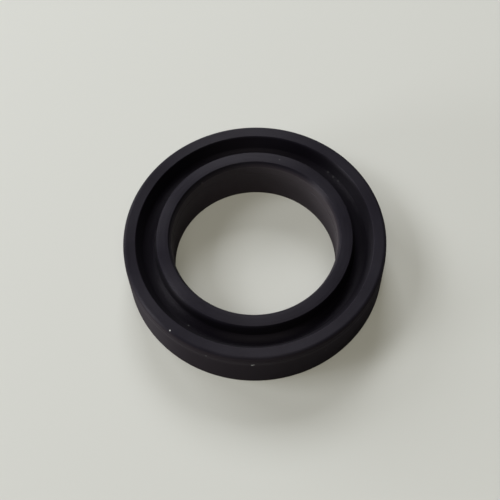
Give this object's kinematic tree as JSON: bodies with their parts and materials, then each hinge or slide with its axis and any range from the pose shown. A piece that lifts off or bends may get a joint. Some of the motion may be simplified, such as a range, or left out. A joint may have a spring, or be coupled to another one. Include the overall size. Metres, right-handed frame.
{
  "type": "transmission oil seal",
  "caption": "Round one-piece rubber U-ring seal with a flat heel, a straight bore for a shaft, and an open groove between an inner and an outer lip.",
  "frame": {"origin": "centre of the flat heel face, on the ring's axis", "axes": "+Z along the shaft, from the heel towards the lips; the ring is the same all round, so X and Y are free"},
  "size_m": [0.022, 0.022, 0.0049],
  "materials": {
    "rubber": "matt moulded black rubber"
  },
  "bodies": {
    "root": {"seal_ring": "rubber"}
  },
  "joints": []
}
